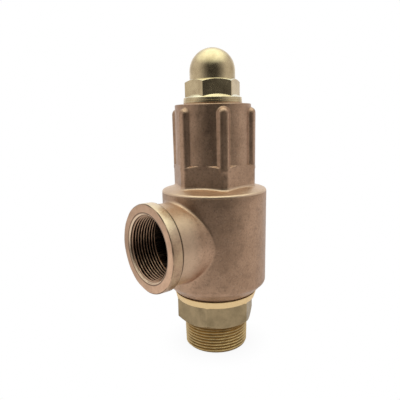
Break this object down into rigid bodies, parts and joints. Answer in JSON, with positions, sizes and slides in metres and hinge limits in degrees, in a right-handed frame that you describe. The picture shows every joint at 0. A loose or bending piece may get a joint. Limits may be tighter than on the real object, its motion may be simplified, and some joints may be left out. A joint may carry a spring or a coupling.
{
  "type": "pressure relief valve",
  "caption": "Angle pattern spring safety relief valve: screwed male inlet below, female outlet at the side, closed ribbed bonnet and domed cap.",
  "frame": {"origin": "centre of the inlet thread's flat end", "axes": "+Z along the valve's axis, up through the bonnet to the cap; the outlet points along -X"},
  "size_m": [0.0996, 0.0776, 0.2221],
  "materials": {
    "casting": "sand cast gunmetal, satin",
    "nozzle_brass": "turned, dull yellow",
    "cap_brass": "turned and lightly polished",
    "turned_brass": "turned",
    "stainless": "turned",
    "spring_steel": "drawn wire",
    "ptfe": "matt",
    "gasket": "matt fibre",
    "copper": "annealed copper, satin"
  },
  "bodies": {
    "valve_body": {"body": "casting", "inlet_nozzle": "nozzle_brass", "nozzle_gasket": "gasket", "disc_guide": "turned_brass", "bonnet_gasket": "gasket", "bonnet": "casting"},
    "disc_assembly": {"disc_holder": "turned_brass", "disc_seal": "ptfe", "seal_retainer": "stainless", "retainer_screw": "stainless", "thrust_ball": "stainless", "spindle": "stainless", "retaining_ring": "spring_steel", "lower_spring_plate": "turned_brass"},
    "spring_seat": {"upper_spring_plate": "turned_brass", "spring": "spring_steel"},
    "adjuster": {"adjusting_screw": "turned_brass"},
    "locknut": {"locknut": "turned_brass"},
    "cap_gasket": {"cap_gasket": "copper"},
    "cap": {"cap": "cap_brass"}
  },
  "joints": [
    {"name": "disc_lift", "type": "slide", "parent": "valve_body", "child": "disc_assembly", "axis": [0, 0, 1], "range_m": [0, 0.0085], "stiffness_N_per_m": 20000, "springref_m": -0.001, "deforming": ["spring"]},
    {"name": "adjuster_height", "type": "slide", "parent": "valve_body", "child": "spring_seat", "axis": [0, 0, 1], "range_m": [-0.003, 0.00225]},
    {"name": "adjuster_turn", "type": "hinge", "parent": "spring_seat", "child": "adjuster", "pos_m": [0, 0, 0.185], "axis": [0, 0, 1], "range_deg": [-720, 540]},
    {"name": "locknut_turn", "type": "hinge", "parent": "valve_body", "child": "locknut", "pos_m": [0, 0, 0.195], "axis": [0, 0, 1], "range_deg": [0, 45]},
    {"name": "cap_height", "type": "slide", "parent": "valve_body", "child": "cap_gasket", "axis": [0, 0, 1], "range_m": [0, 0.0075]},
    {"name": "cap_turn", "type": "hinge", "parent": "cap_gasket", "child": "cap", "pos_m": [0, 0, 0.195], "axis": [0, 0, 1], "range_deg": [0, 1800]}
  ],
  "couplings": [
    {"joint": "adjuster_turn", "follows": "adjuster_height", "rad_per_m": 4188.8},
    {"joint": "cap_turn", "follows": "cap_height", "rad_per_m": 4188.8}
  ]
}
